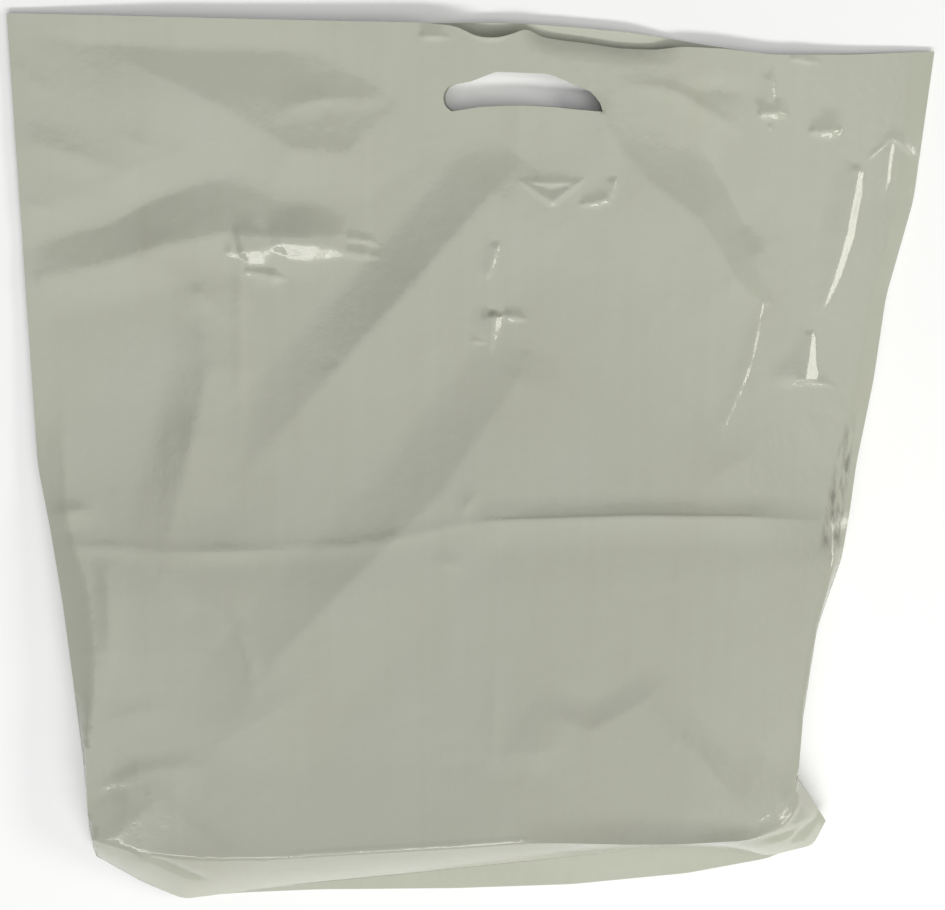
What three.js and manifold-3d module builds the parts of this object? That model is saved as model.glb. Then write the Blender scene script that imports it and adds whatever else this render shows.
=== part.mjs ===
// A punched-handle plastic carrier bag, lying empty on its back panel.
//
// It is one piece of film: a wide sheet is folded into front, gusset and back, and welded down both
// sides, so the only openings are the mouth and the handle holes. The film is built here as one
// grid of rows that runs from the mouth down the front, in and out of the bottom gusset, and back
// up to the mouth, and the grid is then given its thickness.
// Millimetres, +Z up, +Y towards the mouth, origin under the middle of the bag on its resting plane.

import * as THREE from 'three';
import { mergeVertices } from 'three/addons/utils/BufferGeometryUtils.js';
import Module from 'manifold-3d';

// Driving dimensions
const BAG_WIDTH = 508;          // flat width, weld to weld
const BAG_LENGTH = 508;         // mouth to bottom fold
const GUSSET_DEPTH = 51;        // how far the bottom is tucked in when the bag is flat
const FILM = 0.5;               // modelled wall
const LAYER_GAP = 1.2;          // pitch of the film layers where they are welded together

const MOUTH_LOFT = 13;          // height of the front lip above the floor
const SHOULDER_LOFT = 24;       // front panel 200 below the mouth
const RIDGE_LOFT = 36;          // packing fold across the front
const CREST_LOFT = 45;          // crease above the gusset, the highest line of the bag
const RIDGE_AT = 268;           // packing fold, down from the mouth
const CREST_AT = BAG_LENGTH - GUSSET_DEPTH;

const HANDLE = {
  length: 88,
  height: 21,
  bow: 3.5,                     // how far its lower edge curves up in the middle
  endRadius: 7.2,
  belowMouth: 21,
  offset: 11,                   // right of the centre line
};

const RISE = { nearMouth: 200, nearGusset: 38, from: 150, to: 330 };  // how far in the front climbs
const CURL_WIDTH = 60;          // outer strip of the back that curls up to the weld

const COLUMNS = 20;             // across the bag
const ROWS_TO_RIDGE = 10;
const ROWS_TO_CREST = 8;
const ROWS_IN_GUSSET = 4;       // crease to bottom fold, and bottom fold to inner fold
const MERGE_WITHIN = 1e-4;      // vertices nearer than this are one

// Where the welds, folds and edges lie, in the bag's own frame: x across, y down from the mouth as
// a negative number, z up from the floor. The lower half is drawn in because the gusset has opened.
const HALF = BAG_WIDTH / 2;
const LOWEST_WELD = 1.5 * LAYER_GAP + FILM;
const ON_FLOOR = FILM / 2;
const FLOOR_FOLD = ON_FLOOR + 1.5 * LAYER_GAP;

const leftRoot = [-234, -446, 19];
const rightRoot = [195, -444, 20];
const leftTip = [-229, -468, 7];
const rightTip = [220, -476, 8];

const weldLeft = smooth([
  [-HALF, 0, LOWEST_WELD], [-252.5, -150, 3], [-252, -215, 4.5], [-243, -290, 11],
  [-237, -370, 16], leftRoot,
]);
const weldRight = smooth([
  [HALF, 0, LOWEST_WELD], [247, -84, 3.5], [235, -138, 6], [228, -189, 9],
  [214, -300, 15], [201, -344, 17], [195, -400, 18.5], rightRoot,
]);
const frontLip = smooth([
  [-HALF, 0, 0], [-120, 2, 0], [-40, 3, 0], [60, -5, 0], [120, -2, 0], [HALF, 0, 0],
]);
const backLip = smooth([
  [-HALF, 0, 0], [-100, 3, 0], [10, 5, 0], [100, 0, 0], [153, -4, 0], [HALF, 0, 0],
]);
const frontCrest = smooth([
  leftRoot, [-200, -451, 0], [-125, -452, 0], [12, -455, 0], [86, -464, 0], [155, -471, 0],
  [182, -468, 0], rightRoot,
]);
const backCrease = smooth([leftRoot, [-150, -456, 0], [0, -463, 0], [130, -463, 0], rightRoot]);
const innerFold = smooth([leftRoot, [-150, -454, 17], [0, -457, 20], [120, -460, 21], rightRoot]);
const frontFold = smooth([
  leftTip, [-200, -487, 5], [-178, -494, 6], [-110, -494, 8], [-46, -491, 11], [45, -487, 13.5],
  [111, -485, 14], [184, -499, 11], [212, -492, 9], rightTip,
]);
const backFold = smooth([
  leftTip, [-200, -488, FLOOR_FOLD], [-186, -497, FLOOR_FOLD], [-105, -503, FLOOR_FOLD],
  [-19, -511, FLOOR_FOLD], [56, -514, FLOOR_FOLD], [133, -513, FLOOR_FOLD],
  [188, -506, FLOOR_FOLD], [213, -492, 3.5], rightTip,
]);

function smooth(points) {
  return new THREE.CatmullRomCurve3(points.map((p) => new THREE.Vector3(...p)), false, 'centripetal');
}

function lerp(a, b, t) {
  return a + (b - a) * t;
}

// Height of the front panel's middle at a distance down from the mouth.
const middleHeights = [
  [0, MOUTH_LOFT], [60, MOUTH_LOFT], [130, 17], [200, SHOULDER_LOFT], [250, 31],
  [RIDGE_AT, RIDGE_LOFT], [292, 34], [400, 37], [440, 41], [CREST_AT, CREST_LOFT],
];

function middleHeight(down) {
  const k = Math.min(middleHeights.findIndex(([d]) => d >= down), middleHeights.length - 1);
  if (k <= 0) return middleHeights[0][1];
  const [d0, h0] = middleHeights[k - 1];
  const [d1, h1] = middleHeights[k];
  return lerp(h0, h1, (down - d0) / (d1 - d0));
}

// The front rises from each weld: slowly near the flat mouth, steeply where the gusset has opened.
function frontHeight(u, down, weldHeight) {
  const share = THREE.MathUtils.smoothstep(down, RISE.from, RISE.to);
  const reach = lerp(RISE.nearMouth, RISE.nearGusset, share);
  const t = Math.min(1, (Math.min(u, 1 - u) * BAG_WIDTH) / reach);
  return weldHeight + (middleHeight(down) - weldHeight) * (1 - (1 - t) ** 2);
}

// The back lies on the floor and curls up to the welds over its outer strip.
function backHeight(u, weldHeight) {
  const t = Math.min(1, (Math.min(u, 1 - u) * BAG_WIDTH) / CURL_WIDTH);
  return Math.max(ON_FLOOR, weldHeight * (1 - t) ** 2);
}

// A point of the surface between two side curves and two end curves. Heights are set by the caller.
function between(left, right, top, bottom, u, t) {
  const l = left(t);
  const r = right(t);
  const a = top(u);
  const b = bottom(u);
  const p = l.clone().lerp(r, u).add(a.clone().lerp(b, t));
  const corners = left(0).clone().lerp(right(0), u).lerp(left(1).clone().lerp(right(1), u), t);
  return p.sub(corners);
}

// The column positions: closer together near the welds, where the film turns.
const columns = [];
for (let j = 0; j <= COLUMNS; j += 1) columns.push(0.5 - 0.5 * Math.cos((Math.PI * j) / COLUMNS));

// Distances down from the mouth of the rows above the gusset.
const downs = [];
for (let i = 0; i <= ROWS_TO_RIDGE; i += 1) downs.push((RIDGE_AT * i) / ROWS_TO_RIDGE);
for (let i = 1; i <= ROWS_TO_CREST; i += 1) downs.push(lerp(RIDGE_AT, CREST_AT, i / ROWS_TO_CREST));

const earShares = Array.from({ length: ROWS_IN_GUSSET + 1 }, (_, k) => k / ROWS_IN_GUSSET);
const at = (curve) => (t) => curve.getPointAt(t);

// The four layers of the welded edge lie one above another, LAYER_GAP apart.
const FRONT_LAYER = 1.5 * LAYER_GAP;
const GUSSET_FRONT_LAYER = 0.5 * LAYER_GAP;
const GUSSET_BACK_LAYER = -0.5 * LAYER_GAP;
const BACK_LAYER = -1.5 * LAYER_GAP;

function frontMainRow(down) {
  const t = down / CREST_AT;
  return columns.map((u) => {
    const p = between(at(weldLeft), at(weldRight), at(frontLip), at(frontCrest), u, t);
    const weld = lerp(weldLeft.getPointAt(t).z, weldRight.getPointAt(t).z, u);
    p.z = frontHeight(u, down, weld + FRONT_LAYER);
    return p;
  });
}

function backMainRow(down) {
  const t = down / CREST_AT;
  return columns.map((u) => {
    const p = between(at(weldLeft), at(weldRight), at(backLip), at(backCrease), u, t);
    const weld = lerp(weldLeft.getPointAt(t).z, weldRight.getPointAt(t).z, u);
    p.z = backHeight(u, weld + BACK_LAYER);
    return p;
  });
}

// From the crest down to the front fold: the strip that was pressed flat against the gusset.
function frontGussetRow(share) {
  const crest = frontMainRow(CREST_AT);
  return columns.map((u, j) => {
    const edge = frontFold.getPointAt(u);
    edge.z += FRONT_LAYER;
    return crest[j].clone().lerp(edge, share);
  });
}

function gussetRow(fold, share, layer) {
  return columns.map((u) => {
    const p = fold.getPointAt(u).lerp(innerFold.getPointAt(u), share);
    p.z += layer;
    return p;
  });
}

function backGussetRow(share) {
  const crease = backMainRow(CREST_AT);
  return columns.map((u, j) => {
    const edge = backFold.getPointAt(u);
    edge.z += BACK_LAYER;
    return crease[j].clone().lerp(edge, share);
  });
}

// All rows of the film in the order in which they run along it, from the mouth round to the mouth.
function filmRows() {
  const rows = downs.map(frontMainRow);
  rows.push(...earShares.slice(1).map(frontGussetRow));
  rows.push(...earShares.map((s) => gussetRow(frontFold, s, GUSSET_FRONT_LAYER)));
  rows.push(...earShares.map((s) => gussetRow(backFold, 1 - s, GUSSET_BACK_LAYER)));
  rows.push(...earShares.slice(1).reverse().map(backGussetRow));
  rows.push(...[...downs].reverse().map(backMainRow));
  return rows;
}

// The film's middle surface as vertices and triangles facing out of the bag, with its side welds.
function middleSurface() {
  const rows = filmRows();
  const vertices = rows.flat();
  const triangles = [];
  const quad = (a, b, c, d) => triangles.push([a, b, c], [a, c, d]);
  const index = (i, j) => i * (COLUMNS + 1) + j;
  for (let i = 0; i + 1 < rows.length; i += 1) {
    for (let j = 0; j < COLUMNS; j += 1) {
      quad(index(i, j), index(i + 1, j), index(i + 1, j + 1), index(i, j + 1));
    }
  }
  const main = downs.length - 1;
  const ear = ROWS_IN_GUSSET;
  const frontFoldRow = main + ear;
  const innerRow = frontFoldRow + 1 + ear;
  const lastRow = rows.length - 1;
  for (const j of [0, COLUMNS]) {
    const strip = (a, b) => {
      for (let i = 0; i + 1 < a.length; i += 1) {
        if (j === 0) quad(a[i + 1], a[i], b[i], b[i + 1]);
        else quad(a[i], a[i + 1], b[i + 1], b[i]);
      }
    };
    const front = downs.map((_, i) => index(i, j));
    const back = downs.map((_, i) => index(lastRow - i, j));
    const inner = [GUSSET_FRONT_LAYER, GUSSET_BACK_LAYER].map((layer, n) =>
      downs.map((_, i) => {
        if (i === main) return index(innerRow + n, j);
        const p = vertices[front[i]].clone();
        p.z += layer - FRONT_LAYER;
        return vertices.push(p) - 1;
      }));
    strip(front, inner[0]);
    strip(inner[0], inner[1]);
    strip(inner[1], back);
    const steps = [...earShares.keys()];
    strip(steps.map((k) => index(main + k, j)), steps.map((k) => index(innerRow - k, j)));
    const backFrom = lastRow - main;
    strip(steps.map((k) => index(innerRow + 1 + k, j)), steps.map((k) => index(backFrom - k, j)));
  }
  return { vertices, triangles };
}

// Gives the middle surface its wall: a skin on each side, joined round the mouth.
function thicken({ vertices, triangles }) {
  const normals = vertices.map(() => new THREE.Vector3());
  const edges = new Map();
  for (const [a, b, c] of triangles) {
    const n = new THREE.Vector3().subVectors(vertices[b], vertices[a])
      .cross(new THREE.Vector3().subVectors(vertices[c], vertices[a])).normalize();
    for (const [p, q, r] of [[a, b, c], [b, c, a], [c, a, b]]) {
      const angle = new THREE.Vector3().subVectors(vertices[q], vertices[p])
        .angleTo(new THREE.Vector3().subVectors(vertices[r], vertices[p]));
      normals[p].addScaledVector(n, angle);
      edges.set(`${p},${q}`, [p, q]);
    }
  }
  normals.forEach((n) => n.normalize());
  const count = vertices.length;
  const positions = [];
  for (const side of [1, -1]) {
    vertices.forEach((v, k) => {
      positions.push(...v.clone().addScaledVector(normals[k], (side * FILM) / 2).toArray());
    });
  }
  const index = [];
  for (const [a, b, c] of triangles) index.push(a, b, c, a + count, c + count, b + count);
  for (const [p, q] of edges.values()) {
    if (!edges.has(`${q},${p}`)) index.push(q, p, p + count, q, p + count, q + count);
  }
  const geometry = new THREE.BufferGeometry();
  geometry.setAttribute('position', new THREE.Float32BufferAttribute(positions, 3));
  geometry.setIndex(index);
  return geometry;
}

// The punched handle: a bowed slot with round ends, cut through both panels.
function handleCutter() {
  const { length, height, bow, endRadius } = HANDLE;
  const x = length / 2 - endRadius;
  const low = -height / 2;
  const shape = new THREE.Shape();
  shape.moveTo(-x, low);
  shape.quadraticCurveTo(0, low + 2 * bow, x, low);
  shape.absarc(x, low + endRadius, endRadius, -Math.PI / 2, Math.PI / 3, false);
  shape.lineTo(length / 4, height / 2);
  shape.lineTo(-length / 4, height / 2);
  shape.absarc(-x, low + endRadius, endRadius, (2 * Math.PI) / 3, (3 * Math.PI) / 2, false);
  const depth = 2 * CREST_LOFT;
  const cutter = new THREE.ExtrudeGeometry(shape, { depth, bevelEnabled: false, curveSegments: 8 });
  cutter.translate(HANDLE.offset, -HANDLE.belowMouth - height / 2, -depth / 2);
  return cutter;
}

function solid(wasm, geometry) {
  const plain = geometry.clone();
  for (const name of Object.keys(plain.attributes)) {
    if (name !== 'position') plain.deleteAttribute(name);
  }
  const merged = mergeVertices(plain, MERGE_WITHIN);
  return new wasm.Manifold(new wasm.Mesh({
    numProp: 3,
    vertProperties: new Float32Array(merged.attributes.position.array),
    triVerts: new Uint32Array(merged.index.array),
  }));
}

function fromSolid(manifold) {
  const mesh = manifold.getMesh();
  const geometry = new THREE.BufferGeometry();
  geometry.setAttribute('position', new THREE.Float32BufferAttribute(mesh.vertProperties, 3));
  geometry.setIndex([...mesh.triVerts]);
  return geometry;
}

const wasm = await Module();
wasm.setup();

const film = fromSolid(solid(wasm, thicken(middleSurface())).subtract(solid(wasm, handleCutter())));
film.computeBoundingBox();
const { min, max } = film.boundingBox;
film.translate(-(min.x + max.x) / 2, -(min.y + max.y) / 2, -min.z);

const greyFilm = { color: 0xadafa2, roughness: 0.25, metalness: 0 };
const carrierBag = new THREE.Mesh(film, new THREE.MeshStandardMaterial(greyFilm));
carrierBag.name = 'carrier_bag';

const bag = new THREE.Group();
bag.add(carrierBag);

export default bag;
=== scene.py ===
import math

import bmesh
import bpy
import numpy as np
from mathutils import Matrix, Vector
from mathutils.geometry import delaunay_2d_cdt
from mathutils.kdtree import KDTree


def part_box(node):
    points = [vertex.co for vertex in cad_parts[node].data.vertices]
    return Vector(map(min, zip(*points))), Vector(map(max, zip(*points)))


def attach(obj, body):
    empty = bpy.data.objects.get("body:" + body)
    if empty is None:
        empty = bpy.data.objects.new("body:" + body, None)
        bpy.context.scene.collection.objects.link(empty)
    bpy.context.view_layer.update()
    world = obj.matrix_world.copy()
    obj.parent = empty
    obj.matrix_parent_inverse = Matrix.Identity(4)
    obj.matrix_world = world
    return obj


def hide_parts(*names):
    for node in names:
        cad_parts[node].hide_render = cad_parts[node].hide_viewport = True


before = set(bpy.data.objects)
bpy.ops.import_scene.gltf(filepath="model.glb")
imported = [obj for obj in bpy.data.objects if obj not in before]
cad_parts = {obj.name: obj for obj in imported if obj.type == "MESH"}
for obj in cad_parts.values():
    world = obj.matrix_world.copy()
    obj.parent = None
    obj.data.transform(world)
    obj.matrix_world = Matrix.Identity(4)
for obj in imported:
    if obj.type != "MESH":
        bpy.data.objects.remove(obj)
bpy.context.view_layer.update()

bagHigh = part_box("carrier_bag")[1]
print("frame loaded")

# The bag is drawn in millimetres: across from its middle, down from the mouth line towards its
# bottom, and up from the floor.
bag = {
    "width": 508,                # flat, weld to weld
    "length": 508,               # mouth to bottom fold
    "gusset": 51,                # depth of the tuck in the bottom
    "thickness": 0.16,
    "layerGap": 0.45,            # pitch of the film layers in a weld or fold
    "blend": 26,                 # eases the front's broad shape
    "relief": 1.3,               # scales the creases of the front
    "creaseRound": 0.6,          # how softly a crease or a pucker turns over its line
    "puckerRound": 0.2,
    "faceArch": 1.2,             # how far the strip below the crest bows out, and the bottom
    "bottomArch": 0.8,
    "lipProud": 5,               # the back lip reaches this far past the mouth line
    "backCurl": 45,              # width of the back that curls up to a weld
    "stitch": 4.0,               # mesh spacing: on the front, along its creases, at its puckers
    "creaseStitch": 2.2,
    "puckerStitch": 1.2,
    "backStitch": 9.0,
    "lipStitch": 3.0,
    "creaseBand": 5,             # the finer spacings reach this far from a line
    "puckerBand": 3.5,
    "flankLines": (0.25, 0.85),  # shares of a pucker's steep flank where the mesh has a line
    "columns": 160,              # across the gusset
    "weldSteps": 114,
    "earSteps": 16,
    "sharpest": 50,              # degrees; the film is shaded smooth up to this bend
    "seed": 11,
}
mouthY = bagHigh.y - bag["lipProud"] / 1000
dice = np.random.default_rng(bag["seed"])
# heights of the four layers of film at a weld, from their middle
frontLayer, gussetFrontLayer = 1.5 * bag["layerGap"], 0.5 * bag["layerGap"]
gussetBackLayer, backLayer = -0.5 * bag["layerGap"], -1.5 * bag["layerGap"]
floorLine = bag["thickness"]

# welds, folds and lips as (across, down, height)
leftWeld = [
    (-254, 0, 2), (-253, 143, 3), (-252, 232, 6), (-247, 267, 9), (-242.5, 307, 12),
    (-240, 340, 13), (-236, 400, 14), (-235, 446, 13),
]
rightWeld = [
    (254, 0, 2), (248, 84, 4), (233, 140, 9), (228, 189, 12), (220, 240, 14.5), (217, 268, 17),
    (214, 298, 17.5), (201, 342, 18.5), (196, 400, 19), (195, 440, 19),
]
leftTip = (-233, 466, 7)
rightTip = (223, 479, 8)
frontLip = [
    (-254, 0), (-184, -0.5), (-103, -1.5), (-45, -2.5), (-28, -1.5), (-23, 0), (-17, 3), (-11, 4),
    (-3, 3.5), (5, 1), (12, -2), (21, 2), (29, 3), (44, 4), (64, 6), (85, 6), (100, 4), (124, 4),
    (153, 6), (201, 4), (254, 0),
]
backLip = [
    (-254, 0), (-184, -1), (-103, -2.5), (-39, -4), (10, -5), (32, -4.5), (66, -3), (103, 0),
    (124, 2), (153, 5), (201, 3), (254, 0),
]
crest = [
    (-235, 446), (-200, 454), (-125, 457), (-59, 457), (12, 457), (40, 459), (86, 464), (131, 468),
    (160, 471), (181, 467), (195, 440),
]
innerFold = [(-235, 446, 12.5), (-150, 457, 13), (0, 459, 20), (120, 460, 20), (195, 440, 18)]
frontFold = [
    leftTip, (-208, 486, 5), (-185, 500, 4), (-150, 497, 6), (-110, 494, 8), (-46, 491, 11),
    (45, 487, 13.5), (111, 485, 14), (160, 492, 12), (184, 499, 11), (215, 495, 9), rightTip,
]
backFold = [
    leftTip, (-208, 484, 2.5), (-187, 501, 1.4), (-150, 501, 1.6), (-105, 503, 1.6),
    (-19, 510, 1.6), (56, 514, 1.6), (133, 513, 1.6), (188, 507, 1.8), (214, 496, 3.5), rightTip,
]

# heights of the front panel down the bag, along five lines between the two welds
leftShoulder = [
    (-232, 0, 3.5), (-232, 143, 5), (-236, 200, 7.5), (-238, 240, 11), (-238, 262, 14),
    (-232, 285, 18), (-227, 304, 21), (-226, 335, 22), (-228, 362, 21), (-233, 390, 21),
    (-234, 430, 20.8), (-234, 446, 21.2),
]
leftPanel = [
    (-170, 0, 7), (-170, 60, 7), (-170, 130, 10.5), (-170, 200, 16), (-170, 250, 23),
    (-170, 300, 31), (-170, 400, 34), (-170, 430, 35.6), (-170, 457, 37.4),
]
middle = [
    (0, 0, 12), (0, 60, 12), (0, 130, 17), (0, 200, 24), (0, 250, 30), (0, 300, 34), (0, 400, 38),
    (0, 440, 42), (0, 457, 44),
]
rightPanel = [
    (150, 0, 7), (150, 60, 8), (150, 130, 12), (148, 200, 18), (145, 250, 24), (142, 300, 30),
    (140, 400, 34), (140, 440, 37), (140, 457, 37),
]
rightShoulder = [
    (238, 0, 3), (237, 84, 5.5), (222, 140, 10.5), (217, 189, 13.5), (209, 240, 16), (204, 268, 19),
    (205, 298, 25), (196, 342, 28), (191, 400, 29), (191, 440, 28.5),
]
crestRise = [    # across, how far the film rises along the crest, how far up the bag that reaches
    (-200, 0, 10), (-150, 0.8, 16), (-100, 0.4, 10), (5, 0, 10), (42, 2.2, 15), (76, 3.8, 16),
    (110, 4.4, 15), (150, 3.4, 11), (178, 0.8, 6),
]


def resample(line, count):
    # evenly spaced points along a line
    line = np.array(line, float)
    steps = np.hypot(np.diff(line[:, 0]), np.diff(line[:, 1]))
    reach = np.concatenate([[0], np.cumsum(steps)])
    at = np.linspace(0, reach[-1], count)
    return np.stack([np.interp(at, reach, column) for column in line.T], axis=1)


def soften(points, passes):
    for _ in range(passes):
        points[1:-1] = (points[:-2] + 2 * points[1:-1] + points[2:]) / 4
    return points


def step(value, low, high):
    t = np.clip((value - low) / (high - low), 0, 1)
    return t * t * (3 - 2 * t)


# A rail's place across and height at each distance down, with its corners eased.
railDowns = np.arange(0, bag["length"] - bag["gusset"] + 1)


def rail(line, ease=14):
    line = np.array(line, float)
    window = np.hanning(2 * ease + 1) / np.hanning(2 * ease + 1).sum()
    columns = []
    for values in (line[:, 0], line[:, 2]):
        table = np.interp(railDowns, line[:, 1], values)
        padded = np.pad(table, ease, mode="reflect", reflect_type="odd")
        columns.append(np.convolve(padded, window, mode="valid"))
    return columns


rails = [rail(leftWeld, 4), rail(leftShoulder, 6), rail(leftPanel), rail(middle), rail(rightPanel),
         rail(rightShoulder, 6), rail(rightWeld, 4)]


# Creases of the front panel. Each has its line as (across, down, rise) points and how far its
# flanks reach on the left and on the right hand of someone walking along it. A negative rise is a
# furrow. The last number bends the flanks: 1 is straight, 2 is steep at the line, flat at the foot.
creases = [
    # upper left, under the mouth
    ([(-252, 8, 0), (-214, 13, -1.2), (-159, 14, -1.4), (-104, 13, -1.2), (-88, 20, -0.8),
      (-52, 39, 0)], 15, 26, 1.2),
    ([(-206, 17, 0.3), (-180, 28, 1.4), (-145, 46, 2.6), (-114, 64, 3.2), (-86, 66, 2.4),
      (-58, 39, 0)], 40, 26, 1.2),
    ([(-124, 46, 0), (-100, 38, 0.9), (-62, 36, 0)], 12, 6, 1.3),
    ([(-251, 26, 0.6), (-243, 34, 0.4), (-232, 40, 0)], 7, 8, 1.5),
    ([(-206, 56, 0), (-192, 62, 0.5), (-182, 67, 0)], 8, 8, 1.5),
    ([(-251, 62, 0.9), (-222, 70, 1.1), (-194, 80, 0)], 14, 12, 1.3),
    ([(-252, 92, 0.5), (-244, 96, 0.4), (-232, 98, 0)], 6, 6, 1.5),
    # the long ridge from the left weld
    ([(-253, 116, -1.0), (-207, 103, -1.5), (-185, 90, -1.7), (-160, 80, -1.0),
      (-128, 74, 0)], 18, 20, 1.2),
    ([(-253, 133, 1.2), (-213, 125, 1.8), (-183, 115, 2.4), (-150, 108, 2.6), (-110, 109, 2.4),
      (-72, 106, 0)], 26, 22, 1.3),
    ([(-184, 123, 0.8), (-164, 140, 1.8), (-143, 157, 0)], 20, 14, 1.2),
    ([(-164, 150, 0.6), (-160, 180, 2.6), (-168, 215, 3.4), (-184, 272, 1.0)], 28, 22, 1.3),
    ([(-141, 110, 0), (-142, 140, 0.8), (-144, 205, 0.4), (-145, 230, 0)], 5, 7, 1.5),
    # diagonals across the middle
    ([(-156, 250, 0), (-101, 190, 3.0), (-51, 135, 4.0), (-6, 84, 2.4), (10, 66, 0)], 27, 50, 1.2),
    ([(-160, 392, 0), (-125, 336, 2.4), (-84, 294, 3.0), (-35, 247, 2.8), (8, 186, 1.6),
      (14, 168, 0)], 30, 50, 1.3),
    # right of the handle
    ([(54, 40, 0.6), (66, 60, 1.5), (84, 78, 2.2), (113, 97, 2.5), (135, 129, 2.2),
      (157, 147, 0)], 26, 40, 1.3),
    ([(98, 36, 0), (122, 66, -1.5), (142, 100, -1.7), (150, 116, 0)], 22, 16, 1.2),
    ([(62, 25, 0), (80, 26, 0.6), (98, 28, 0.8), (123, 42, 0.7), (137, 48, 0)], 7, 7, 1.5),
    ([(96, 27, 0), (123, 25, -0.8), (148, 28, 0)], 8, 10, 1.3),
    ([(54, 40, 0.8), (56, 52, 0.8), (62, 80, 0)], 10, 12, 1.5),
    ([(8, 40, 0.5), (8, 70, 0.5), (9, 95, 0)], 9, 9, 1.3),
    ([(76, 143, 0), (104, 200, 0.8), (126, 243, 1.0), (150, 232, 0.8), (193, 195, 0)], 24, 26, 1.5),
    # packing fold
    ([(-26, 266, 0), (-8, 264, 1.4), (79, 264.5, 1.9), (150, 268, 1.7),
      (194, 273, 0.6)], 11, 16, 1.4),
    ([(-234, 275, 0.5), (-214, 276, 0.8), (-194, 277.5, 0.5), (-140, 277.5, 0.5), (-85, 276, 0.6),
      (-55, 271, 0.6), (-24, 265, 0.5), (-14, 264, 0)], 7, 7, 1.5),
    ([(-188, 277, 0), (-155, 277.5, 1.0), (-122, 277, 0)], 22, 8, 1.3),
    ([(-26, 262, 0), (-20, 254, 1.0), (-14, 246, 0)], 7, 5, 1.5),
    ([(-42, 285, 0), (-30, 288, 0.7), (-20, 291, 0)], 9, 6, 1.5),
    ([(-247, 259, 0.5), (-232, 256, 1.0), (-219, 256, 0)], 8, 10, 1.5),
    # below it on the left
    ([(-197, 284, -0.4), (-172, 313, -1.3), (-142, 357, 0)], 9, 18, 1.2),
    ([(-216, 288, 0.7), (-216, 320, 0.9), (-218, 352, 0)], 9, 9, 1.3),
    ([(-161, 302, 0), (-147, 321, 0.9), (-140, 340, 0.9), (-139, 361, 0)], 6, 6, 1.5),
    ([(-226, 375, 0), (-205, 370, 0.4), (-184, 364, 0)], 6, 12, 1.2),
    ([(-166, 393, 0), (-135, 372, 1.2), (-96, 344, 0)], 20, 40, 1.2),
    # lower left corner
    ([(-223, 417, 0), (-204, 404, 1.2), (-180, 400, 0.9), (-166, 404, 0)], 7, 44, 1),
    ([(-204, 403, 0.3), (-192, 419, 1.2), (-176, 437, 0.9), (-158, 453, 0.5)], 6, 60, 1),
    ([(-228, 424, 0), (-212, 423, 0.5), (-203, 428, 0.6), (-205, 451, 0.5)], 7, 60, 1),
    # lower middle and right
    ([(18, 372, 0), (38, 384, 1.8), (54, 391, 2.2), (86, 376, 1.8), (104, 363, 0)], 14, 60, 1.2),
    ([(90, 376, 0), (108, 400, 1.4), (126, 418, 1.4), (148, 446, 0)], 17, 50, 1.2),
    ([(-2, 402, 0.6), (22, 401, 1.2), (46, 398, 0)], 50, 15, 1.2),
    ([(-5, 350, 0), (-4, 375, 0.5), (-4, 402, 0.3), (-4, 412, 0)], 5, 5, 1.5),
    ([(153, 443, 0), (168, 421, -0.7), (185, 396, 0)], 20, 24, 1.2),
    ([(197, 438, 0.3), (182, 449, 1.2), (166, 460, 0.8), (150, 466, 0)], 12, 20, 1),
]

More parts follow.
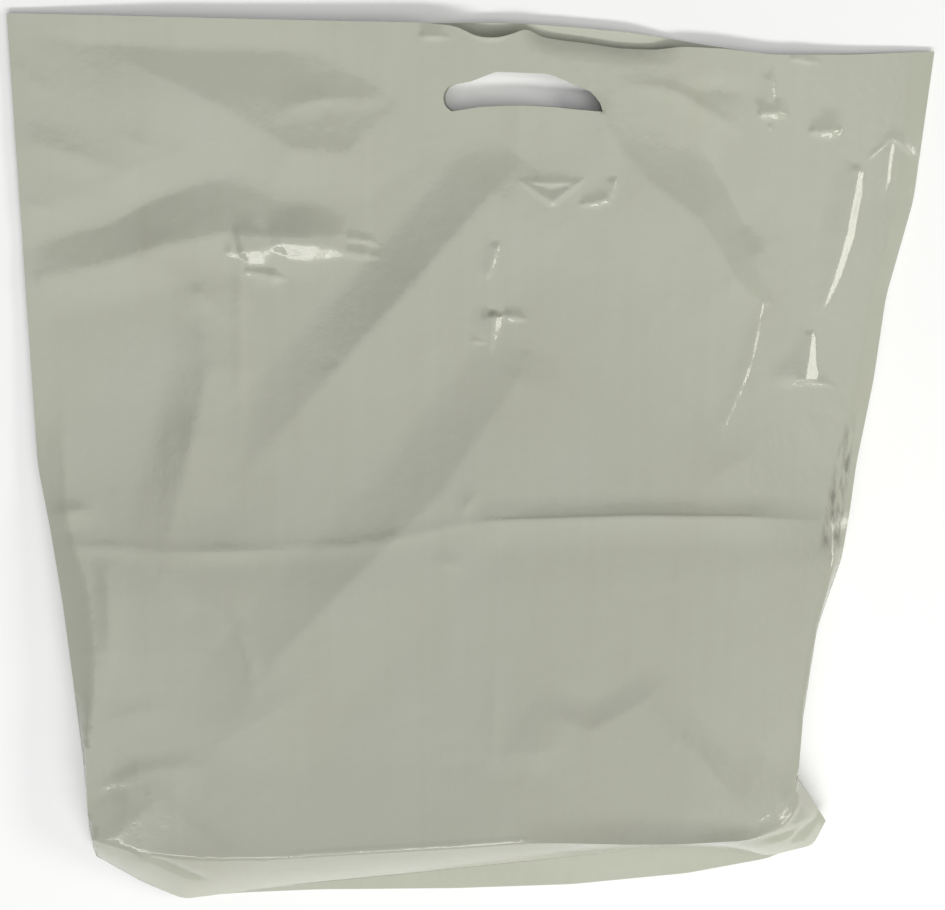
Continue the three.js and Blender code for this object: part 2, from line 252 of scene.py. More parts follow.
# Small sharp puckers that catch the lamps. Each has its line and the pitch in degrees of the
# flanks on its left and its right hand, so a flank is wider where the line is higher.
puckers = [
    # the cluster below the long ridge
    ([(-151, 118, 0), (-146, 117, 1.2), (-143, 118, 0.8), (-139, 116.5, 2.8), (-131, 116, 2.6),
      (-125, 114, 1.2), (-119, 112, 2.8), (-105, 112.5, 3.2), (-94, 114, 2.4), (-86, 117, 1.0),
      (-76, 118, 1.1), (-66, 120, 0)], 9, 17.5),
    ([(-141, 128, 0), (-137, 127.5, 1.2), (-124, 130, 1.6), (-116, 132, 0)], 20, 19),
    ([(-88, 110, 0), (-83, 110, 0.9), (-73, 111, 0.8), (-66, 114, 0)], 12, 23),
    # the dimple below the handle
    ([(10, 77, 0.2), (18, 78.5, 0.9), (27, 79, 1.0), (36, 78.5, 0.9), (43, 77, 0.2)], 12, 30),
    ([(9, 77.5, 0.3), (13, 80, 0.9), (20, 84.5, 1.1), (27, 88.5, 1.3), (29, 88, 1.3),
      (35, 83.5, 1.1), (41, 79, 0.9), (45, 76.5, 0.3)], 12, 27),
    ([(42, 90, 0), (46, 89.5, 0.9), (53, 88.5, 1.3), (58, 87, 1.3), (62, 89, 0)], 12, 25.5),
    ([(64, 74, 0), (62.5, 78, 1.1), (61.5, 84, 0.8), (61, 88, 0)], 23, 10),
    # the middle
    ([(-2, 110, 0), (-4, 114, 1.1), (-8, 127, 1.1), (-10, 132, 0)], 22, 10),
    ([(-5, 147, 0), (-5, 151, 2.8), (-6, 160, 2.0), (-6, 171, 0)], 24, 12),
    ([(-1, 150, 0.3), (4, 151, 1.5), (10, 152, 1.0), (15, 153, 0)], 14, 25.5),
    ([(-18, 165, 0), (-16, 164.5, 0.6), (-10, 165, 0.6), (-8, 166, 0)], 9, 23.5),
    # upper right
    ([(154, 12, 0), (153, 20, 0.7), (154.5, 34, 0.9), (156, 40, 0)], 15, 7),
    ([(146, 39.5, 0), (149, 38, 1.8), (158, 37.5, 1.8), (166, 39, 0)], 12, 28),
    ([(152, 46, 0), (154, 45.5, 0.6), (157, 46.5, 0)], 9, 27),
    ([(177, 47, 0), (181, 47, 1.0), (192, 46.5, 2.2), (196, 46, 1.4), (199, 45, 0)], 9, 26),
    ([(212, 66, 0), (218, 60, 0.4), (224, 55, 0.5), (231, 49.5, 0.8), (237, 52, 0.8),
      (243, 57, 0.7), (251, 63, 0)], 8, 32),
    ([(231, 48.5, 0.5), (229, 58, 0.8), (228.5, 72, 0.7), (228, 84, 0)], 13, 8),
    ([(211, 64, 0), (210, 68, 1.1), (208, 80, 1.5), (204, 104, 1.7), (198, 126, 1.5),
      (193, 142, 0.9), (189, 152, 0)], 14.2, 6),
    ([(154, 143, 0.3), (151, 158, 0.75), (147, 178, 0.8), (140, 196, 0.8), (133, 212, 0.6),
      (131, 219, 0)], 15.5, 6),
    ([(154, 144, 0), (157, 143.5, 0.5), (161, 145, 0)], 8, 22),
    ([(186.5, 159, 0), (185, 163, 0.9), (183, 176, 1.7), (181, 188, 3.0), (181, 192, 0)], 14, 8),
    ([(183, 190, 0), (186, 190, 0.9), (194, 190.5, 0.7), (204, 193, 0)], 8, 24),
    # along the mouth
    ([(-47, 5, 0), (-43, 4.5, 1.0), (-36, 4.5, 1.0), (-29, 5, 0)], 10, 28),
    ([(-24, 0.3, 0.3), (-17, 3.3, 0.5), (-11, 4.3, 0.8), (-3, 3.8, 0.7), (3, 1.8, 0)], 20, 30),
    ([(163, 8, 0), (167, 8, 0.8), (176, 9, 0.8), (184, 9, 0)], 8, 30.5),
    # the edge of the packing fold
    ([(-16, 263.4, 0), (0, 263, 0.25), (79, 263.5, 0.3), (150, 267, 0.25), (194, 272, 0)], 18, 3),
    # the edge of the crest
    ([(-125, 455.2, 0), (-116, 455.2, 0.3), (-59, 455.2, 0.35), (12, 455.2, 0.35),
      (24, 455.8, 0)], 10, 14),
]
# lines the mesh follows without rising: both shoulders, and one just above the crest
guideLines = [
    ([(places[d], d, 0) for d in range(0, 430, 3)], 1, 1, 1) for places, _ in (rails[1], rails[5])
]
guideLines.append(([(x, d - 1.8, 0) for x, d in crest[1:-1]], 1, 1, 1))


def nearestOnLine(across, down, line):
    # distance to a line, the value carried along it there, and which hand the point lies on
    best = np.full(across.shape, np.inf)
    value = np.zeros(across.shape)
    side = np.zeros(across.shape)
    for start, end in zip(line[:-1], line[1:]):
        runX, runD = end[0] - start[0], end[1] - start[1]
        t = ((across - start[0]) * runX + (down - start[1]) * runD) / (runX * runX + runD * runD)
        t = np.clip(t, 0, 1)
        offX = across - start[0] - t * runX
        offD = down - start[1] - t * runD
        distance = np.hypot(offX, offD)
        nearer = distance < best
        best = np.where(nearer, distance, best)
        value = np.where(nearer, start[2] + t * (end[2] - start[2]), value)
        side = np.where(nearer, runD * offX - runX * offD, side)
    return best, value, side


def easeOff(distance, rounding):
    return np.hypot(distance, rounding) - rounding


def creaseHeight(across, down, folds):
    total = np.zeros(across.shape)
    for line, leftReach, rightReach, bend in folds:
        distance, rise, side = nearestOnLine(across, down, line)
        reach = np.where(side > 0, leftReach, rightReach)
        distance = easeOff(distance, bag["creaseRound"])
        total += rise * np.clip(1 - distance / reach, 0, 1) ** bend
    return total


def puckerHeight(across, down, folds):
    highest = np.zeros(across.shape)
    for line, leftPitch, rightPitch in folds:
        distance, rise, side = nearestOnLine(across, down, line)
        pitch = np.radians(np.where(side > 0, leftPitch, rightPitch))
        fall = np.tan(pitch) * easeOff(distance, bag["puckerRound"])
        highest = np.maximum(highest, rise - fall)
    return highest


def flankGuides(folds, share):
    # lines part of the way down the steeper flank of each pucker, for the mesh to follow
    guides = []
    for line, leftPitch, rightPitch in folds:
        points = np.array(line, float)
        run = np.gradient(points[:, :2], axis=0)
        run /= np.hypot(*run.T)[:, None]
        hand = 1 if leftPitch > rightPitch else -1
        away = share * hand * points[:, 2:] / math.tan(math.radians(max(leftPitch, rightPitch)))
        points[:, :2] += away * np.column_stack([run[:, 1], -run[:, 0]])
        guides.append((points[points[:, 2] > 0.2], 1, 1))      # a lower flank needs none
    return [guide for guide in guides if len(guide[0]) > 1]


# The short faint creases that handled film has in every direction. A pair is least and most.
handling = {
    "count": 200,
    "across": (-235, 215),
    "down": (12, 440),
    "half": (6, 26),             # half the length of one
    "turn": (-0.5, 0.5),         # its bend, in radians
    "rise": (0.06, 0.24),
    "reach": (3, 9),
}


def smallCreases():
    found = []
    for _ in range(handling["count"]):
        x, d = dice.uniform(*handling["across"]), dice.uniform(*handling["down"])
        angle = dice.uniform(0, math.pi)
        half = dice.uniform(*handling["half"])
        turn = dice.uniform(*handling["turn"])
        rise = dice.uniform(*handling["rise"]) * dice.choice([-1, 1])
        start = (x - half * math.cos(angle), d - half * math.sin(angle), 0)
        end = (x + half * math.cos(angle + turn), d + half * math.sin(angle + turn), 0)
        reaches = [dice.uniform(*handling["reach"]) for _ in range(2)]
        found.append(([start, (x, d, rise), end], *reaches, 1.5))
    return found


fineCreases = smallCreases()
crestAcross, crestDown = np.array(crest, float).T


def crestAt(across):
    return np.interp(across, crestAcross, crestDown)


def betweenRails(across, places, heights):
    height = heights[0].copy()
    for k in range(len(places) - 1):
        run = np.maximum(places[k + 1] - places[k], 0.1)
        height += (heights[k + 1] - heights[k]) * np.clip((across - places[k]) / run, 0, 1)
    return height


front = {
    "bend": (300, 440),          # where the rails begin to follow the crest's bend, and fully do
    "samples": 7,                # taken over the width of the blend
    "weldHold": 0.35,            # the share of each crease that is left at a weld
    "weldReach": 12,             # how far in from the weld the creases are whole
    "crestEase": 1.6,
}


def frontHeight(across, down):
    # the crest bends down the bag, so the rails are read a little further down than the point
    longest = railDowns[-1]
    station = down + (longest - crestAt(across)) * step(down, *front["bend"])
    station = np.clip(station, 0, longest)
    places = [np.interp(station, railDowns, places) for places, _ in rails]
    heights = [np.interp(station, railDowns, heights) for _, heights in rails]
    nearest = np.maximum(np.minimum(across - places[1], places[-2] - across), 0)
    blend = np.minimum(nearest, bag["blend"])
    height = np.zeros(across.shape)
    for offset in np.linspace(-1, 1, front["samples"]):
        height += betweenRails(across + offset * blend, places, heights) / front["samples"]
    inside = np.minimum(across - places[0], places[-1] - across)
    hold = front["weldHold"] + (1 - front["weldHold"]) * step(inside, 0, front["weldReach"])
    folds = bag["relief"] * creaseHeight(across, down, creases)
    folds += puckerHeight(across, down, puckers)
    folds += creaseHeight(across, down, fineCreases)
    stations, rises, reaches = np.array(crestRise, float).T
    below = np.clip(1 - (crestAt(across) - down) / np.interp(across, stations, reaches), 0, 1)
    folds += np.interp(across, stations, rises) * below ** front["crestEase"]
    height += hold * folds + lipRoll(across, down, frontLip, frontRoll)
    return np.maximum(height, floorLine + frontLayer)


# A stretch of the front lip is rolled down, and a longer one of the back lip curls up. Each starts
# and ends gradually, between two places across, and reaches this far down the bag.
frontRoll = {"start": (8, 16), "end": (74, 104), "reach": 9, "rise": -3}
backRoll = {"start": (-45, -5), "end": (65, 125), "reach": 24, "rise": 6}


def lipRoll(across, down, line, roll):
    depth = down - np.interp(across, *np.array(line, float).T)
    along = step(across, *roll["start"]) * (1 - step(across, *roll["end"]))
    return roll["rise"] * along * np.clip(1 - depth / roll["reach"], 0, 1) ** 2


def insideLoop(across, down, loop):
    found = np.zeros(across.shape, bool)
    for (x0, d0), (x1, d1) in zip(loop, np.roll(loop, -1, axis=0)):
        if d0 == d1:
            continue
        before = across < (x1 - x0) * (down - d0) / (d1 - d0) + x0
        found ^= ((d0 > down) != (d1 > down)) & before
    return found


handle = {
    "centre": (11, 31.5),
    "half": 44,
    "endRadius": 7.2,
    # the top edge from its centre, and the cut corner from its right end
    "top": [(-30, -5), (-19, -9.5), (-16, -10.5), (12, -10.5), (18, -9), (27, -5.5), (37, -2)],
    "corner": [(-4, 1), (-1.5, 4), (0, 8.5)],
    "floor": 10,                 # its lower edge, down from its centre
    "bow": 2.6,                  # rise of the lower edge in its middle
    "backSlip": (2.8, -1.4),     # the back panel's hole lies a little to one side
    "spacing": 1.6,
}


def handleOutline(slip=(0, 0)):
    # round left end, cut corner at the right end, shoulders sloping up to a flat top
    x, d = handle["centre"][0] + slip[0], handle["centre"][1] + slip[1]
    left, right, r = x - handle["half"], x + handle["half"], handle["endRadius"]
    low = d + handle["floor"]
    points = []
    for turn in np.radians(np.linspace(110, 260, 9)):
        points.append((left + r + r * math.cos(turn), low - r + 1 + r * math.sin(turn)))
    points += [(x + a, d + b) for a, b in handle["top"]]
    points += [(right + a, d + b) for a, b in handle["corner"]]
    for share in np.arange(1, 6) / 6:
        rise = 1 + handle["bow"] * math.sin(math.pi * share)
        points.append((right - share * (2 * handle["half"] - r), low - rise))
    ring = np.array(points + points[:1])
    count = int(np.hypot(*np.diff(ring, axis=0).T).sum() / handle["spacing"])
    return resample(ring, count + 1)[:-1]


film = {"points": [], "faces": []}
meshing = {
    "jitter": 0.12,              # shares of the mesh spacing
    "fromEdge": 0.5,             # a fold's points keep this far from the panel's edge
    "fromPoint": 0.6,            # and the points that fill the panel from all others
    "splinter": 0.01,            # faces of fewer square millimetres are left out
}


def addPoints(points):
    first = len(film["points"])
    film["points"].extend(tuple(float(c) for c in p) for p in points)
    return list(range(first, len(film["points"])))


def addStrip(a, b):
    for i in range(len(a) - 1):
        film["faces"].append((a[i], a[i + 1], b[i + 1], b[i]))


def jitteredGrid(low, high, spacing):
    rowStep = spacing * math.sqrt(0.75)
    rows = np.arange(low[1], high[1], rowStep)
    across = np.arange(low[0], high[0], spacing)
    grid = np.array([(x + spacing * 0.5 * (k % 2), d) for k, d in enumerate(rows) for x in across])
    return grid + dice.uniform(-meshing["jitter"], meshing["jitter"], grid.shape) * spacing


def nearFolds(points, folds, reach):
    near = np.zeros(len(points), bool)
    for line, *_ in folds:
        near |= nearestOnLine(points[:, 0], points[:, 1], line)[0] < reach
    return near


def distances(points, others):
    return np.hypot(*(points[:, None] - others[None]).transpose(2, 0, 1))


def followFold(line, spacing, outline, flat, edges):
    # points along a fold, joined by edges that the triangles keep
    steps = np.array(line, float)[:, :2]
    length = np.hypot(*np.diff(steps, axis=0).T).sum()
    steps = resample(steps, max(2, round(length / spacing) + 1))
    steps = steps[insideLoop(*steps.T, outline)]
    steps = steps[distances(steps, outline).min(axis=1) > spacing * meshing["fromEdge"]]
    first = len(flat)
    flat += [tuple(p) for p in steps]
    edges += [(first + i, first + i + 1) for i in range(len(steps) - 1)]


def addPanel(loop, hole, levels, heightAt):
    # A panel of triangles inside a loop of points that are already in the film. Each level is a
    # mesh spacing, the folds it follows and how far it reaches from them. Later levels are finer.
    outline = np.array([film["points"][i][:2] for i in loop])
    flat = [tuple(p) for p in outline]
    edges = [(i, (i + 1) % len(flat)) for i in range(len(flat))]
    first = len(flat)
    flat += [tuple(p) for p in hole]
    edges += [(first + i, first + (i + 1) % len(hole)) for i in range(len(hole))]
    for spacing, folds, _ in levels:
        for line, *_ in folds:
            followFold(line, spacing, outline, flat, edges)
    tree = KDTree(len(flat))
    for i, (x, d) in enumerate(flat):
        tree.insert((x, d, 0), i)
    tree.balance()
    for k, (spacing, folds, reach) in enumerate(levels):
        grid = jitteredGrid(outline.min(axis=0), outline.max(axis=0), spacing)
        grid = grid[insideLoop(*grid.T, outline) & ~insideLoop(*grid.T, hole)]
        if folds:
            grid = grid[nearFolds(grid, folds, reach)]
        for _, finerFolds, finerReach in levels[k + 1:]:
            grid = grid[~nearFolds(grid, finerFolds, finerReach)]
        apart = spacing * meshing["fromPoint"]
        flat += [(x, d) for x, d in grid if tree.find((x, d, 0))[2] > apart]
    flat = [Vector(p) for p in flat]
    points, _, faces, origins, _, _ = delaunay_2d_cdt(flat, edges, [], 0, 1e-4)
    points = np.array([tuple(p) for p in points])
    index = {}
    fresh = []
    for k, sources in enumerate(origins):
        onLoop = [source for source in sources if source < len(loop)]
        if onLoop:
            index[k] = loop[onLoop[0]]
        else:
            fresh.append(k)
    heights = heightAt(points[fresh, 0], points[fresh, 1])
    added = addPoints(np.column_stack([points[fresh], heights]))
    index.update(zip(fresh, added))
    corners = np.array([list(face) for face in faces])
    centre = points[corners].mean(axis=1)
    keep = insideLoop(*centre.T, outline) & ~insideLoop(*centre.T, hole)
    (x0, d0), (x1, d1), (x2, d2) = (points[corners[:, k]].T for k in range(3))
    area = np.abs((x1 - x0) * (d2 - d0) - (d1 - d0) * (x2 - x0)) / 2
    keep &= area > meshing["splinter"]       # there are splinters along a straight edge
    for a, b, c in corners[keep]:
        film["faces"].append((index[a], index[b], index[c]))


def edgeLine(line, count, passes=2):
    return soften(resample(line, count), passes)


def weldLayers(line):
    # the four layers at a side weld, which share the front's small waves
    edge = edgeLine(line, bag["weldSteps"] + 1)
    front = edge.copy()
    front[:, 2] = frontHeight(edge[:, 0], edge[:, 1]) + frontLayer
    layers = [front]
    for layer in (gussetFrontLayer, gussetBackLayer, backLayer):
        points = front.copy()
        points[:, 2] = np.maximum(front[:, 2] + layer - frontLayer, floorLine)
        layers.append(points)
    return layers


def lipLine(line):
    length = np.hypot(*np.diff(np.array(line, float), axis=0).T).sum()
    return edgeLine(line, round(length / bag["lipStitch"]) + 1, 1)


def layered(points, layer):
    return points + np.array([0, 0, layer])


def gussetGrid(start, end, steps, firstIds, lastIds, arch, folds):
    # rows of film between two folds, sharing the rows of points that are already there
    rows = [firstIds] if firstIds else []
    for k in range(len(rows), steps + (0 if lastIds else 1)):
        points = start + (end - start) * (k / steps)
        points[:, 2] += arch * math.sin(math.pi * k / steps)
        points[:, 2] += creaseHeight(points[:, 0], points[:, 1], folds)
        rows.append(addPoints(points))
    if lastIds:
        rows.append(lastIds)
    for a, b in zip(rows[:-1], rows[1:]):
        addStrip(a, b)
    return rows


def backCurl(across, down, rim):
    # the back lies on the floor and curls up to the welds
    gaps = distances(np.column_stack([across, down]), rim[:, :2])
    nearest = gaps.argmin(axis=1)
    away = gaps[np.arange(len(across)), nearest]
    rise = (rim[nearest, 2] - floorLine) * np.clip(1 - away / bag["backCurl"], 0, 1) ** 2
    return floorLine + rise + lipRoll(across, down, backLip, backRoll)


def buildFilm():
    count = bag["columns"] + 1
    ears = bag["earSteps"]
    leftLayers, rightLayers = weldLayers(leftWeld), weldLayers(rightWeld)
    leftIds = [addPoints(points) for points in leftLayers]
    rightIds = [addPoints(points) for points in rightLayers]

    # front panel, from the lip to the crest
    lipPoints = lipLine(frontLip)[1:-1]
    lipHeights = frontHeight(lipPoints[:, 0], lipPoints[:, 1]) + frontLayer
    lipIds = addPoints(np.column_stack([lipPoints, lipHeights]))
    crestPoints = edgeLine(crest, count, 3)
    crestHeights = frontHeight(crestPoints[:, 0], crestPoints[:, 1]) + frontLayer
    crestPoints = np.column_stack([crestPoints, crestHeights])
    crestPoints[0], crestPoints[-1] = leftLayers[0][-1], rightLayers[0][-1]
    crestIds = [leftIds[0][-1]] + addPoints(crestPoints[1:-1]) + [rightIds[0][-1]]
    loop = leftIds[0][:1] + lipIds + rightIds[0] + crestIds[-2:0:-1] + leftIds[0][:0:-1]
    flanks = [guide for share in bag["flankLines"] for guide in flankGuides(puckers, share)]
    levels = [
        (bag["stitch"], [], 0),
        (bag["creaseStitch"], creases + guideLines, bag["creaseBand"]),
        (bag["puckerStitch"], puckers + flanks, bag["puckerBand"]),
    ]
    addPanel(loop, handleOutline(), levels, lambda x, d: frontHeight(x, d) + frontLayer)
    print("front panel drawn")

    # from the crest to the front fold, and in and out of the gusset
    frontRow = edgeLine(frontFold, count)
    innerRow = edgeLine(innerFold, count)
    backRow = edgeLine(backFold, count)

    faceEnd = layered(frontRow, frontLayer)
    faceRows = gussetGrid(
        crestPoints, faceEnd, ears, crestIds, None, bag["faceArch"], faceCreases)
    leftInner = [leftIds[1][-1], leftIds[2][-1]]
    rightInner = [rightIds[1][-1], rightIds[2][-1]]
    innerFront = layered(innerRow, gussetFrontLayer)
    innerBack = layered(innerRow, gussetBackLayer)
    innerFrontIds = [leftInner[0]] + addPoints(innerFront[1:-1]) + [rightInner[0]]
    innerBackIds = [leftInner[1]] + addPoints(innerBack[1:-1]) + [rightInner[1]]
    for points, side in ((innerFront, 1), (innerBack, 2)):
        points[0], points[-1] = leftLayers[side][-1], rightLayers[side][-1]
    tuckStart, outEnd = layered(frontRow, gussetFrontLayer), layered(backRow, gussetBackLayer)
    tuckRows = gussetGrid(tuckStart, innerFront, ears, None, innerFrontIds, 0, [])
    outRows = gussetGrid(
        innerBack, outEnd, ears, innerBackIds, None, bag["bottomArch"], bottomCreases)
    addStrip(faceRows[-1], tuckRows[0])
    addStrip(innerFrontIds, innerBackIds)

    # back panel, with its ears
    backEnd = layered(backRow, backLayer)
    backEnd[:, 2] = np.maximum(backEnd[:, 2], floorLine)
    leftRoot, rightRoot = leftLayers[3][-1], rightLayers[3][-1]
    shares = np.linspace(0, 1, ears + 1)[1:, None]
    leftEar = leftRoot + (backEnd[0] - leftRoot) * shares
    rightEar = rightRoot + (backEnd[-1] - rightRoot) * shares
    leftEarIds, rightEarIds = addPoints(leftEar), addPoints(rightEar)
    backIds = [leftEarIds[-1]] + addPoints(backEnd[1:-1]) + [rightEarIds[-1]]
    addStrip(outRows[-1], backIds)
    rim = np.concatenate([leftLayers[3], leftEar, rightLayers[3], rightEar])
    rim[:, 2] = np.maximum(rim[:, 2], floorLine)
    backLipPoints = lipLine(backLip)[1:-1]
    backLipHeights = backCurl(backLipPoints[:, 0], backLipPoints[:, 1], rim)
    backLipIds = addPoints(np.column_stack([backLipPoints, backLipHeights]))
    loop = leftIds[3][:1] + backLipIds + rightIds[3] + rightEarIds
    loop += backIds[-2:0:-1] + leftEarIds[::-1] + leftIds[3][:0:-1]
    levels = [(bag["backStitch"], [], 0)]
    addPanel(loop, handleOutline(handle["backSlip"]), levels, lambda x, d: backCurl(x, d, rim))

    # side welds, and the welded edges of the ears below them
    for ids, earIds, end in ((leftIds, leftEarIds, 0), (rightIds, rightEarIds, -1)):
        for a, b in zip(ids[:-1], ids[1:]):
            addStrip(a, b)
        frontEar = [row[end] for row in faceRows]
        tuckEar = [row[end] for row in reversed(tuckRows)]
        outEar = [row[end] for row in outRows]
        addStrip(frontEar, tuckEar)
        addStrip(outEar, ids[3][-1:] + earIds)


# creases of the strip between crest and front fold, and of the gusset's lower half
faceCreases = [
    ([(-206, 451, 0), (-192, 461, -2.5), (-177, 472, -2.5), (-168, 478, 0)], 4, 4, 1.3),
    ([(-140, 452, 0), (-137, 458, 1.0), (-134, 466, 0)], 4, 4, 1.5),
    ([(-122, 470, 0), (-116, 474, 0.6), (-108, 474, 0)], 4, 4, 1.5),
    ([(-203, 450, 1.0), (-206, 462, 1.6), (-210, 480, 0)], 12, 8, 1.3),
    ([(192, 446, 0), (188, 458, 1.8), (180, 470, 0)], 5, 5, 1.3),
    ([(150, 472, 0), (178, 475, -1.8), (203, 475, -1.2), (214, 473, 0)], 4, 7, 1.1),
    ([(190, 487, 0), (200, 480, -2.0), (214, 471, -0.6)], 3, 6, 1),
]
bottomCreases = [
    ([(46, 507, 0), (60, 504, 0.9), (85, 502, 0.8), (110, 500, 0)], 5, 6, 1),
]


def place(point):
    across, down, height = point
    return across / 1000, mouthY - down / 1000, height / 1000


def makeMesh(name):
    mesh = bpy.data.meshes.new(name)
    mesh.from_pydata([place(p) for p in film["points"]], [], film["faces"])
    work = bmesh.new()
    work.from_mesh(mesh)
    bmesh.ops.remove_doubles(work, verts=work.verts, dist=1e-5)
    bmesh.ops.recalc_face_normals(work, faces=work.faces)
    top = max(work.faces, key=lambda f: f.calc_center_median().z)
    if top.normal.z < 0:
        bmesh.ops.reverse_faces(work, faces=work.faces)
    for face in work.faces:
        face.smooth = True
    work.to_mesh(mesh)
    work.free()
    piece = bpy.data.objects.new(name, mesh)
    bpy.context.collection.objects.link(piece)
    return piece


def selectOnly(piece):
    bpy.ops.object.select_all(action="DESELECT")
    piece.select_set(True)
    bpy.context.view_layer.objects.active = piece


def giveThickness(piece):
    selectOnly(piece)
    wall = piece.modifiers.new("wall", "SOLIDIFY")
    wall.thickness = bag["thickness"] / 1000
    wall.offset = 0
    bpy.ops.object.modifier_apply(modifier="wall")
    bpy.ops.object.shade_smooth_by_angle(angle=math.radians(bag["sharpest"]))


buildFilm()
filmBag = makeMesh("film_bag")
giveThickness(filmBag)
print("film built:", len(filmBag.data.polygons), "faces")


class Signal:
    # a shader value that takes part in plain expressions

    def __init__(self, shader, socket):
        self.shader = shader
        self.socket = socket

    def maths(self, operation, first, second):
        return self.shader.node("ShaderNodeMath", {"operation": operation}, {0: first, 1: second})

    def __add__(self, other):
        return self.maths("ADD", self, other)

    def __radd__(self, other):
        return self.maths("ADD", other, self)

    def __sub__(self, other):
        return self.maths("SUBTRACT", self, other)

    def __rsub__(self, other):
        return self.maths("SUBTRACT", other, self)

    def __mul__(self, other):
        return self.maths("MULTIPLY", self, other)

    def __rmul__(self, other):
        return self.maths("MULTIPLY", other, self)


class Shader:
    def __init__(self, name):
        self.material = bpy.data.materials.new(name)
        self.material.use_nodes = True
        self.tree = self.material.node_tree
        self.tree.nodes.clear()

    def node(self, kind, settings, values, output=0):
        made = self.tree.nodes.new(kind)
        for key, value in settings.items():
            setattr(made, key, value)
        for key, value in values.items():
            if isinstance(value, Signal):
                self.tree.links.new(value.socket, made.inputs[key])
            else:
                made.inputs[key].default_value = value
        return Signal(self, made.outputs[output])

    def finish(self, surface):
        out = self.tree.nodes.new("ShaderNodeOutputMaterial")
        self.tree.links.new(surface.socket, out.inputs["Surface"])
        return self.material


filmLook = {
    "base": (0.42, 0.43, 0.365, 1),
    "cloudy": (0.40, 0.405, 0.335, 1),
    "cloudScale": 14,
    "cloudiness": (0.45, 0.95),  # noise at which the film is wholly the one and wholly the other
    # painted light and shade: the film is painted lighter where it lies low, by the mouth, and
    # darker where it rises towards the crest
    "low": (1.11, 1.11, 1.11, 1),
    "shadedAloft": (0.93, 0.93, 0.93, 1),
    "heights": (0.01, 0.038),    # heights where the painted lightening and the painted shade are whole, in metres
    "roughness": 0.15,
    "unevenness": 0.06,          # how much the roughness varies
    "unevenScale": 60,
    "sheen": 1.4,                # refractive index, which sets how strongly it mirrors the lamps
    "bump": 0.5,
    "bumpDepth": 0.0006,
    "lumps": [(0.6, 70, 3), (0.5, 190, 3), (0.1, 520, 2)],       # weight, scale and detail
    "streaks": (40, 2, (4, 0.12, 1)),    # scale, detail and stretch of the film's draw lines
    "streakTone": 0.4,
    "streakBump": 0.2,
}

# a rubbed line of dirt where the film turns down at the right, wider towards its lower end
dirtLine = {
    "start": (0.216, 0.205),     # across and down, in metres as all its lengths
    "slope": 0.2,
    "left": (-0.005, -0.001),    # clean and dirty, across the line
    "right": (0.0035, 0.001),
    "widening": 0.11,
    "upper": (0, 0.03),          # clean and dirty, along the line
    "lower": (0.088, 0.078),
    "specks": (200, 3, (1.6, 0.4, 1)),
    "patchy": (0.38, 0.62),
    "colour": (0.10, 0.10, 0.08, 1),
    "strength": 0.65,
    "dullness": 0.4,
}


def filmMaterial():
    shader = Shader("grey film")
    where = shader.node("ShaderNodeTexCoord", {}, {}, "Object")
    across, upward, height = (
        shader.node("ShaderNodeSeparateXYZ", {}, {"Vector": where}, axis) for axis in "XYZ")

    def noise(scale, detail=2, stretch=(1, 1, 1)):
        mapped = shader.node("ShaderNodeMapping", {}, {"Vector": where, "Scale": stretch})
        values = {"Vector": mapped, "Scale": scale, "Detail": detail}
        return shader.node("ShaderNodeTexNoise", {}, values)

    def between(value, low, high):
        values = {"Value": value, "From Min": low, "From Max": high}
        return shader.node("ShaderNodeMapRange", {}, values)

    def mix(share, first, second, blend="MIX"):
        settings = {"data_type": "RGBA", "blend_type": blend}
        return shader.node("ShaderNodeMix", settings, {"Factor": share, 6: first, 7: second}, 2)

    streaks = noise(*filmLook["streaks"])
    cloud = noise(filmLook["cloudScale"]) + filmLook["streakTone"] * streaks
    colour = mix(between(cloud, *filmLook["cloudiness"]), filmLook["base"], filmLook["cloudy"])
    # painted light and shade by height: lighter where the film lies low, darker where it rises
    heightShading = mix(between(height, *filmLook["heights"]), filmLook["low"], filmLook["shadedAloft"])
    colour = mix(1.0, colour, heightShading, "MULTIPLY")

    along = (mouthY - dirtLine["start"][1]) - upward
    off = across - dirtLine["start"][0] + dirtLine["slope"] * along
    line = between(off, *dirtLine["left"])
    line = line * between(off - dirtLine["widening"] * along, *dirtLine["right"])
    line = line * between(along, *dirtLine["upper"]) * between(along, *dirtLine["lower"])
    dirt = line * between(noise(*dirtLine["specks"]), *dirtLine["patchy"])
    colour = mix(dirtLine["strength"] * dirt, colour, dirtLine["colour"])

    roughness = filmLook["unevenness"] * (noise(filmLook["unevenScale"]) - 0.5)
    roughness = filmLook["roughness"] + roughness + dirtLine["dullness"] * dirt
    lumps = filmLook["streakBump"] * streaks
    for weight, scale, detail in filmLook["lumps"]:
        lumps = lumps + weight * noise(scale, detail)
    bump = shader.node("ShaderNodeBump", {}, {
        "Strength": filmLook["bump"], "Distance": filmLook["bumpDepth"], "Height": lumps,
    })
    surface = shader.node("ShaderNodeBsdfPrincipled", {}, {
        "Base Color": colour, "Roughness": roughness, "IOR": filmLook["sheen"], "Normal": bump,
    })
    return shader.finish(surface)


filmBag.data.materials.append(filmMaterial())
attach(filmBag, "root")
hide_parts("carrier_bag")
print("film finished")

room = {
    "floorSize": 6,
    "floorColour": (0.94, 0.94, 0.94, 1),
    "floorRoughness": 0.9,
    "sky": (0.93, 0.97, 1.0),
    "skyStrength": 0.16,
}


def makeFloor():
    bpy.ops.object.select_all(action="DESELECT")
    bpy.ops.mesh.primitive_plane_add(size=room["floorSize"], location=(0, 0, 0))
    floor = bpy.context.object
    floor.name = "floor"
    shader = Shader("floor paper")
    surface = shader.node("ShaderNodeBsdfPrincipled", {}, {
        "Base Color": room["floorColour"], "Roughness": room["floorRoughness"],
    })
    floor.data.materials.append(shader.finish(surface))


def makeSky():
    world = bpy.data.worlds.new("studio")
    bpy.context.scene.world = world
    world.use_nodes = True
    background = world.node_tree.nodes["Background"]
    background.inputs["Color"].default_value = (*room["sky"], 1)
    background.inputs["Strength"].default_value = room["skyStrength"]


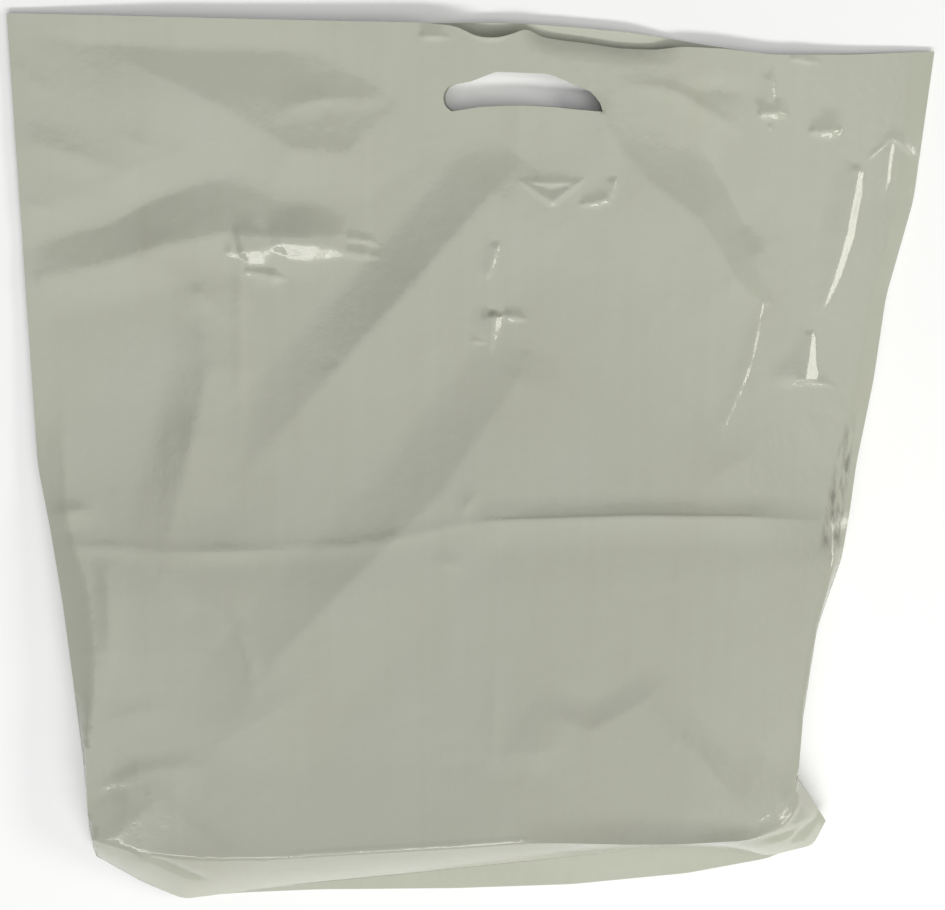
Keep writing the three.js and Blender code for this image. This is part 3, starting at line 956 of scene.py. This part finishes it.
# lamps stand in these directions from the bag, at this distance, all in metres
lamps = {
    "window": {
        "toward": (0, -0.97, 1), "away": 4, "size": (6, 0.6),
        "power": 122, "colour": (1, 1, 0.97),
    },
    "ceiling": {
        "toward": (0, -0.17, 1), "away": 5, "size": (7.6, 5.0),
        "power": 118, "colour": (1, 1, 1),
    },
    "sideLamp": {
        "toward": (1.8, 0.05, 1), "away": 2.5, "size": (1.2, 0.5),
        "power": 19, "colour": (1, 0.98, 0.9),
    },
}


def makeLamps():
    for name, lamp in lamps.items():
        light = bpy.data.lights.new(name, "AREA")
        light.shape = "RECTANGLE"
        light.size, light.size_y = lamp["size"]
        light.energy = lamp["power"]
        light.color = lamp["colour"]
        holder = bpy.data.objects.new(name, light)
        toward = Vector(lamp["toward"]).normalized()
        holder.location = toward * lamp["away"]
        holder.rotation_euler = toward.to_track_quat("Z", "Y").to_euler()
        bpy.context.collection.objects.link(holder)


# the camera stands above the upper left of the bag
view = {
    "stand": (-0.1234, 0.0974),  # across and down from the mouth line, in metres
    "height": 0.6467,
    "aim": (-0.0123, 0.2328),    # across and down, on the floor
    "lean": -0.0144,             # turns the view about its middle
    "lens": 43.9,
    "sensor": 36,
    "near": 0.01,
}


def makeCamera():
    data = bpy.data.cameras.new("camera")
    data.lens = view["lens"]
    data.sensor_width = view["sensor"]
    data.sensor_fit = "HORIZONTAL"
    data.clip_start = view["near"]
    camera = bpy.data.objects.new("camera", data)
    stand = Vector((view["stand"][0], mouthY - view["stand"][1], view["height"]))
    aim = Vector((view["aim"][0], mouthY - view["aim"][1], 0))
    back = (stand - aim).normalized()
    right = Vector((view["lean"], 1, 0)).cross(back).normalized()
    up = back.cross(right)
    turn = Matrix((right, up, back)).transposed()
    camera.matrix_world = Matrix.Translation(stand) @ turn.to_4x4()
    bpy.context.collection.objects.link(camera)
    bpy.context.scene.camera = camera


bpy.context.scene.view_settings.view_transform = "Standard"
makeFloor()
makeSky()
makeLamps()
makeCamera()
print("studio set")
